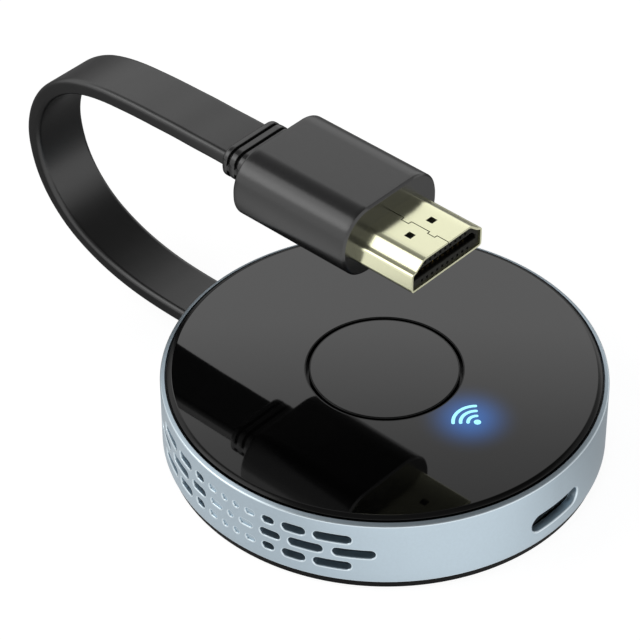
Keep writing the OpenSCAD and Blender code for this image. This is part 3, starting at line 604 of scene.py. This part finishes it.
# the gland where the lead leaves the ring
glandSet = {
    # at the ring and at the far end; mm
    "x": (-30.65, -33.6), "wide": (11, 9.46), "high": (4.4, 2.99), "round": (1.3, 0.95), "z": 4.3,
    "flange": 1.0, "ribs": 2,
    # (share of the length, drawn in): from the flange's edge on, and at the end; a rib's own shares are of
    # its step, and the first rib starts a neck's share after the flange
    "flangeEdge": [[-0.06, 0], [-0.02, 0.05], [0, 0.2], [0.1, 0.34]], "end": [[0.96, 0.12], [1, 0.25]],
    "rib": [[0, 0.34], [0.3, 0.1], [0.75, 0.1], [0.9, 0.3]], "neck": 0.12,
}


def makeGland(c):
    # a section that narrows evenly from the ring outwards, and is drawn in at its stations
    ringX, endX = c["x"]
    flange = c["flange"] / (ringX - endX)
    stations = [[0, 0]] + [[flange + share, drawn] for share, drawn in c["flangeEdge"]]
    start = flange + c["neck"]
    step = (1 - start) / c["ribs"]
    for k in range(c["ribs"]):
        stations += [[start + (k + share) * step, drawn] for share, drawn in c["rib"]]
    rings = []
    for share, drawn in stations + c["end"]:
        size = [c[k][0] + (c[k][1] - c[k][0]) * share for k in ("wide", "high", "round")]
        section, out = outlineBox(*size)
        x = np.full(len(section), ringX + (endX - ringX) * share)
        rings.append(np.c_[x, section - out * drawn + [0, c["z"]]])
    makePiece("gland", capped(np.array(rings)), "housingBlack", "cable_gland")


makeGland(glandSet)
print("gland made")

# the metal ring: each vent has a rectangle of wall of its own
ringSet = {
    "outer": 30.6, "inner": 29.3, "perDegree": 2,
    "borders": (2.9, 5.155, 7.485, 9.6), "rows": (3.99, 6.32, 8.65), "levels": 8,
    # a full vent, how deep a blind one is, the round lip with the margin outside it, the least middle line
    "long": 5.7, "high": 1.35, "blind": 0.24, "lip": 0.2, "lipSteps": 4, "margin": 0.08, "least": 0.02,
    # angle from the middle, length share, height share, goes through, far side of its rectangle
    "outerRow": [[1.9, 0.16, 0.67, 0, 4], [6.3, 0.25, 0.63, 0, 9], [11.6, 0.31, 0.85, 1, 14.5],
                 [18.6, 0.58, 1, 1, 23], [28.6, 0.9, 1, 1, 34.5]],
    "middleRow": [[0, 0.16, 0.67, 0, 2], [5, 0.37, 0.63, 0, 8], [12.1, 0.53, 0.89, 1, 16],
                  [21.7, 0.84, 1, 1, 27.5], [34, 1, 1, 1, 40.5]],
    # the socket's mouth: reach in degrees, sizes in mm, and its bevelled edge as (outside the mouth, deep)
    "port": {"reach": 12, "wide": 9.4, "high": 2.8, "z": 4.8,
             "edge": [[0.33, 0], [0.22, 0], [0.17, 0.03], [0.03, 0.16], [0, 0.22]]},
    # (radius, height) above and below the vents
    "upper": [[30.6, 9.6], [30.6, 11.24], [30.588, 11.3], [30.55, 11.35], [30.49, 11.4], [30.42, 11.45],
              [30.1, 11.6], [30.03, 11.64], [29.99, 11.655], [29.965, 11.64], [29.96, 11.6],
              [29.96, 10.65], [28.3, 10.65], [28.3, 10.25], [27.65, 10.2], [27.6, 10.15], [27.6, 9.7],
              [29.3, 9.7], [29.3, 9.6]],
    "lower": [[29.3, 2.9], [29.3, 1.45], [30.44, 1.45], [30.5, 1.47], [30.58, 1.55], [30.6, 1.61],
              [30.6, 2.9]],
}


def bandLevels(c, k):
    # the heights of the wall's points in one row
    return np.linspace(c["borders"][k], c["borders"][k + 1], c["levels"] + 1)


def rectangle(c, lo, hi, levels):
    # points round a rectangle of wall as (degrees, height), at the ring's own columns and levels
    n = c["perDegree"]
    columns = np.arange(round(lo * n), round(hi * n) + 1) / n
    low = np.c_[columns, np.full(len(columns), levels[0])]
    far = np.c_[np.full(len(levels), hi), levels]
    high, near = (low * [1, 0] + [0, levels[-1]])[::-1], (far * [0, 1] + [lo, 0])[::-1]
    return np.concatenate([low[:-1], far[:-1], high[:-1], near[:-1]])


def onWall(c, flat, deep):
    # flat is (mm along the wall, height), from azimuth -90
    angle, r = flat[:, 0] / c["outer"] - np.pi / 2, c["outer"] - deep
    return np.stack([r * np.cos(angle), r * np.sin(angle), flat[:, 1]], -1)


def onPort(c, flat, deep):
    # flat is (mm across, height): the mouth goes straight in along X
    r = c["outer"] - deep
    return np.stack([np.sqrt(r ** 2 - flat[:, 0] ** 2), flat[:, 0], flat[:, 1]], -1)


def slotRings(c, place, flat, core, radius, steps):
    # each point of the rectangle looks at the nearest point of the slot's middle line
    low, high, z = core
    line = np.stack([np.clip(flat[:, 0], low, high), np.full(len(flat), z)], -1)
    away = lengthOne(flat - line)
    return [place(c, line + away * (radius + off), deep) for off, deep in steps], line


def finishBetween(piece, look, low, high, straightOut=0.985, least=1e-9):
    # faces between two radii that don't look straight out get a finish of their own
    faces = piece.data.polygons
    piece.data.materials.append(looks[look])
    middle, out = np.empty((2, len(faces) * 3))
    faces.foreach_get("center", middle)
    faces.foreach_get("normal", out)
    away = np.hypot(middle[0::3], middle[1::3])
    straight = (out[0::3] * middle[0::3] + out[1::3] * middle[1::3]) / np.maximum(away, least)
    chosen = (away > low * mm) & (away < high * mm) & (straight < straightOut)
    slots = np.empty(len(chosen), np.int32)
    faces.foreach_get("material_index", slots)
    slots[chosen] = len(piece.data.materials) - 1
    faces.foreach_set("material_index", slots)


def ventShapes(c, k, row):
    # the rectangles of wall with the vents of one row, and the stretches that they take up, in degrees
    shapes, taken = [], []
    scale, thick = np.pi / 180 * c["outer"], c["outer"] - c["inner"]
    deep, off = quarter(c["lip"], c["lipSteps"])
    edge = [(c["lip"] + c["margin"], 0), *zip(off, deep)]
    near = 0 if row[0][0] else -row[0][4]
    for angle, longShare, highShare, through, far in row:
        high = c["high"] * highShare
        half = max(c["long"] * longShare - high, c["least"]) / 2
        for side in ((1, -1) if angle else (1,)):
            lo, hi = (near, far) if side > 0 else (-far, -near)
            taken.append((lo - 90, hi - 90))
            flat = rectangle(c, lo, hi, bandLevels(c, k)) * [scale, 1]
            middle = side * angle * scale
            core = (middle - half, middle + half, c["rows"][k])
            steps = [*edge, (0, thick if through else c["blind"])]
            rings, line = slotRings(c, onWall, flat, core, high / 2, steps)
            last = inside = onWall(c, flat, thick)
            if not through:
                # a blind vent has a floor, and the wall behind it is closed
                last = onWall(c, line, c["blind"])
                shapes.append(tube([inside, onWall(c, line, thick)]))
            shapes.append(tube([onWall(c, flat, 0), *rings, last]))
        near = far
    return shapes, taken


def portShape(c, p):
    # the rectangle of wall round the socket's mouth: from its border to the mouth, and on to the inside
    edge = rectangle(c, -p["reach"], p["reach"], np.unique(np.r_[bandLevels(c, 0), bandLevels(c, 1)]))
    angle = np.radians(edge[:, 0])
    flat = np.stack([c["outer"] * np.sin(angle), edge[:, 1]], -1)
    half = (p["wide"] - p["high"]) / 2
    steps = [*p["edge"], (0, c["outer"] - c["inner"])]
    rings, _ = slotRings(c, onPort, flat, (-half, half, p["z"]), p["high"] / 2, steps)
    outer, inner = (np.c_[r * np.cos(angle), r * np.sin(angle), edge[:, 1]]
                    for r in (c["outer"], c["inner"]))
    return tube([outer, *rings, inner])


def plainWall(c, k, taken):
    # the wall between the rectangles of one row, outside and inside
    columns = np.arange(360 * c["perDegree"]) / c["perDegree"] - 180
    middle = columns + 0.5 / c["perDegree"]
    free = np.ones(len(columns), bool)
    for lo, hi in taken:
        free &= ~((middle > lo) & (middle < hi)) & ~((middle > lo + 360) & (middle < hi + 360))
    angle, levels = np.radians(columns), bandLevels(c, k)[:, None]
    shapes = []
    for r in (c["outer"], c["inner"]):
        points, quads = tube(np.stack(np.broadcast_arrays(r * np.cos(angle), r * np.sin(angle), levels), -1))
        shapes.append((points, quads[free[quads[:, 0] % len(angle)]]))
    return shapes


def makeRing(c):
    # three rows of wall, the mouth in the lower two, and what is turned above and below them
    shapes, stretches = [], []
    for k, row in enumerate(("outerRow", "middleRow", "outerRow")):
        vents, taken = ventShapes(c, k, c[row])
        shapes += vents
        stretches.append(taken)
    shapes.append(portShape(c, c["port"]))
    for taken in stretches[:2]:
        taken.append((-c["port"]["reach"], c["port"]["reach"]))
    for k, taken in enumerate(stretches):
        shapes += plainWall(c, k, taken)
    shapes += [spin(c[part], 360 * c["perDegree"]) for part in ("upper", "lower")]
    ring = makePiece("sideRing", join(shapes), "ringMetal", "side_ring", sharp=38)
    finishBetween(ring, "ringEdge", c["outer"] - c["lip"], c["outer"])


makeRing(ringSet)
print("ring made")

# the turned pieces: a profile of (radius, height), and the radii between which its edges are ground; mm
plateSet = {
    "profile": [[10.72, 10.8], [29.65, 10.8], [29.65, 11.76], [29.64, 11.8], [29.62, 11.83], [29.04, 12.085],
                [29.0, 12.097], [28.95, 12.1], [28.9, 12.1], [10.92, 12.1], [10.86, 12.1], [10.8, 12.09],
                [10.75, 12.06], [10.72, 12.0], [10.72, 10.8]],
    "ground": [(0, 10.9), (29.03, 40)],
}
buttonSet = {
    "profile": [[0, 12.1], [10.08, 12.1], [10.14, 12.1], [10.2, 12.092], [10.26, 12.06], [10.29, 12.02],
                [10.3, 11.95], [10.3, 10.72], [10.32, 10.7], [11.6, 10.7], [11.6, 10.15], [2.5, 10.15],
                [2.5, 8.05], [2.45, 8.0], [0, 8.0]],
    "ground": [(10.1, 40)],
}
footSet = {
    "profile": [[0, 0.8], [25.52, 0.8], [25.52, 0.2], [25.46, 0.08], [25.36, 0.02], [25.2, 0], [24.4, 0],
                [24.3, 0.03], [24.2, 0.1], [23.9, 0.1], [23.8, 0.03], [23.7, 0], [0, 0]],
    "ground": [],
}
# a thin flared rim round the cover, which shows as the black line under the ring
flareSet = {
    "profile": [[29.83, 1.44], [29.83, 0.15], [29.94, 0.15], [30.04, 0.17], [30.11, 0.23], [30.14, 0.32],
                [30.14, 1.44], [29.83, 1.44]],
    "ground": [],
}


def makeTurned(name, c, look, node, body="puck"):
    # the profile carried round the axis
    piece = makePiece(name, spin(c["profile"]), look, node, body, sharp=38)
    for low, high in c["ground"]:
        finishBetween(piece, "plateEdge", low, high)


makeTurned("topPlate", plateSet, "plateGloss", "top_plate")
makeTurned("buttonCap", buttonSet, "buttonGloss", "button_cap", body="button")
makeTurned("footPad", footSet, "footRubber", "foot_pad")
makeTurned("coverFlare", flareSet, "coverBlack", None)

# the foam ring under the button's flange; mm
cushionSet = {
    "inner": 9.81, "outer": 11.59, "foot": 9.46, "top": 10.14, "round": 0.12, "roundSteps": 4,
    "travel": 0.3, "turns": 180,
}


def makeCushion(c):
    # a rectangle with round corners carried round the axis
    inner, outer, foot, top = c["inner"], c["outer"], c["foot"], c["top"]
    middle = (inner + outer) / 2
    section = softCorners([[middle, foot], [outer, foot], [outer, top], [inner, top], [inner, foot],
                           [middle, foot]], c["round"], c["roundSteps"])
    piece = makePiece("returnCushion", spin(section, c["turns"]), "spongeGrey", "return_cushion",
                      sharp=60, even=False)
    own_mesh(piece)


makeCushion(cushionSet)

# the lit sign in the plate: a dot and three arcs
signSet = {
    # bottom and top, the dot's place and radius, the arcs' radii; mm and degrees
    "z": (11.9, 12.108), "dot": (16.5, 0, 0.5), "arcs": (1.25, 2.25, 3.25), "stroke": 0.5,
    "opening": 90, "steps": 36, "endSteps": 9, "soft": 0.05, "softDown": 0.01,
}


def signRing(c, r, angle, z):
    # points round the middle of the dot
    x0, y0, _ = c["dot"]
    return np.stack([x0 + r * np.cos(angle), y0 + r * np.sin(angle), np.full(len(angle), z)], -1)


def makeSign(c):
    # each shape goes from its middle out along its foot, up, in over a soft edge and back to the middle
    low, top = c["z"]
    shoulder, soft, w = top - c["softDown"], c["soft"], c["stroke"] / 2
    t = np.linspace(0, 2 * np.pi, c["steps"], endpoint=False)
    dot = c["dot"][2]
    stations = ((0, low), (dot, low), (dot, shoulder), (dot - soft, top), (0, top))
    shapes = [tube([signRing(c, r, t, z) for r, z in stations])]
    half = math.radians(c["opening"] / 2)
    run = np.linspace(-half, half, c["steps"])
    end = np.linspace(-np.pi / 2, np.pi / 2, c["endSteps"])
    stations = ((0, low), (1, low), (1, shoulder), (1 - soft / w, top), (0, top))
    for r in c["arcs"]:
        # a stadium bent on the arc: the ends are half circles
        turn = np.cos(end) * w / r
        along = np.concatenate([run, half + turn[::-1], run[::-1], -half - turn])
        side = np.sin(end)[::-1] * w
        aside = np.concatenate([0 * run + w, side, 0 * run - w, -side])
        shapes.append(tube([signRing(c, r + aside * keep, np.pi + along, z) for keep, z in stations]))
    makePiece("indicatorSign", join(shapes), "signLight", "indicator_glyph", sharp=60)


makeSign(signSet)
print("turned pieces, foam ring and sign made")

# finer materials for the solids that stay
nodeLooks = {
    "plate_adhesive": "glueGrey", "switch_plunger": "ledWhite", "switch_body": "steelPlain",
    "top_frame": "framePlastic", "light_guide": "guideClear", "status_led": "ledWhite",
    "bottom_cover": "coverBlack", "cover_screws": "steelPlain", "main_board": "boardGreen",
    "processor": "chipBlack", "memory_chip": "chipBlack", "flash_chip": "chipBlack",
    "thermal_pad": "thermalBlue", "heat_spreader": "spreaderMetal", "wifi_chip": "chipBlack",
    "wifi_shield": "canSteel", "antenna_strips": "copperFoil", "antenna_contacts": "contactGold",
    "video_chip": "chipBlack", "crystal": "canSteel", "power_inductor": "ferriteGrey",
    "capacitors": "ceramicBrown", "vent_screen": "screenDark", "usb_shell": "socketSteel",
    "usb_tongue": "insulatorGrey", "usb_contacts": "contactGold", "cable_clamp": "steelPlain",
    "cable_tail": "leadBlack", "cable_wires": "wireInk", "board_connector": "ivoryPlastic",
}
dress(nodeLooks)
print("solids dressed:", len(nodeLooks))

# floor, studio and lamp
floorSet = {
    "half": 3000.0, "below": 0.02, "tone": 0.25, "rough": 0.9, "seen": 0.91, "mirror": 1.0, "light": 0.0,
    # it dims in reflections towards the rear and the left: direction, mm from and to, share
    "falls": [((-0.35, 0.94, 0), -27, 11, 0.4), ((-1, 0, 0), -34, -4, 0.68), ((-0.8, 0.6, 0), 12, 30, 0.2)],
}
studioSet = {
    "seen": 1.0, "mirror": 1.0, "light": 0.8,
    # it dims towards the right rear and low at the left: direction, its cosine from and to, share
    "falls": [((0.18, 0.68, 0.71), 0.79, 0.95, 0.35), ((-0.83, 0.39, -0.4), 0.62, 0.86, 0.25)],
    # brightness against the height of the direction, from straight down to straight up
    "heights": [[-1, 0.5], [0.0, 0.95], [0.64, 1.0], [0.656, 0.76], [0.669, 0.54], [0.69, 0.38],
                [0.74, 0.26], [0.85, 0.19], [1, 0.17]],
}
lampSet = {"place": (-470, -460, 620), "aim": (0, 0, 30), "size": 600, "power": 1.15}  # mm and watts


def seenStrength(tree, c, shape):
    # the camera sees one strength, mirrors and glass another, and the rest lights the object
    path = addNode(tree, "ShaderNodeLightPath").outputs
    glossy = calc(tree, "MAXIMUM", path["Is Glossy Ray"], path["Is Transmission Ray"])
    other = calc(tree, "MULTIPLY_ADD", glossy, c["mirror"] - c["light"], c["light"])
    return shareBetween(tree, path["Is Camera Ray"], 0, 1, calc(tree, "MULTIPLY", other, shape), c["seen"],
                        "LINEAR")


def fallsTogether(tree, coordinate, falls, start=1.0, unit=1.0):
    # the start times each fall: from 1 to its share, as the place along its direction goes from low to high
    for direction, low, high, share in falls:
        place = addNode(tree, "ShaderNodeVectorMath", {0: placeOn(tree, coordinate), 1: direction},
                        "DOT_PRODUCT").outputs["Value"]
        start = calc(tree, "MULTIPLY", start, shareBetween(tree, place, low * unit, high * unit, 1.0, share))
    return start


def makeFloor(c):
    h, low = c["half"] * mm, -c["below"] * mm
    mesh = bpy.data.meshes.new("floor")
    mesh.from_pydata([(-h, -h, low), (h, -h, low), (h, h, low), (-h, h, low)], [], [(0, 1, 2, 3)])
    mat = bpy.data.materials.new("floorPale")
    mat.use_nodes = True
    tree, inputs = mat.node_tree, mat.node_tree.nodes["Principled BSDF"].inputs
    for key, value in (("Base Color", (*[c["tone"]] * 3, 1)), ("Roughness", c["rough"]),
                       ("Specular IOR Level", 0), ("Emission Color", (1, 1, 1, 1))):
        inputs[key].default_value = value
    shape = fallsTogether(tree, "Object", c["falls"], unit=mm)
    tree.links.new(seenStrength(tree, c, shape), inputs["Emission Strength"])
    mesh.materials.append(mat)
    addObject("floor", mesh)


def makeStudio(c):
    world = bpy.data.worlds.new("studio")
    bpy.context.scene.world = world
    world.use_nodes = True
    tree = world.node_tree
    back = tree.nodes["Background"].inputs
    back["Color"].default_value = (1, 1, 1, 1)
    height = shareBetween(tree, axesOf(tree, "Generated")["Z"], -1, 1, 0, 1, "LINEAR")
    ramp = addNode(tree, "ShaderNodeValToRGB", {0: height})
    stops = ramp.color_ramp.elements
    while len(stops) < len(c["heights"]):
        stops.new(0.5)
    for stop, (z, bright) in zip(stops, c["heights"]):
        stop.position = (z + 1) / 2
        stop.color = (bright, bright, bright, 1)
    shape = fallsTogether(tree, "Generated", c["falls"], ramp.outputs[0])
    tree.links.new(seenStrength(tree, c, shape), back["Strength"])


def makeLamp(c):
    data = bpy.data.lights.new("sideLamp", "AREA")
    data.shape = "DISK"
    data.size = c["size"] * mm
    data.energy = c["power"]
    lamp = addObject("sideLamp", data)
    place, aim = Vector(c["place"]) * mm, Vector(c["aim"]) * mm
    lamp.location = place
    lamp.rotation_euler = (aim - place).to_track_quat("-Z", "Y").to_euler()


makeFloor(floorSet)
makeStudio(studioSet)
makeLamp(lampSet)
bpy.context.scene.view_settings.view_transform = "Standard"
print("stage set")
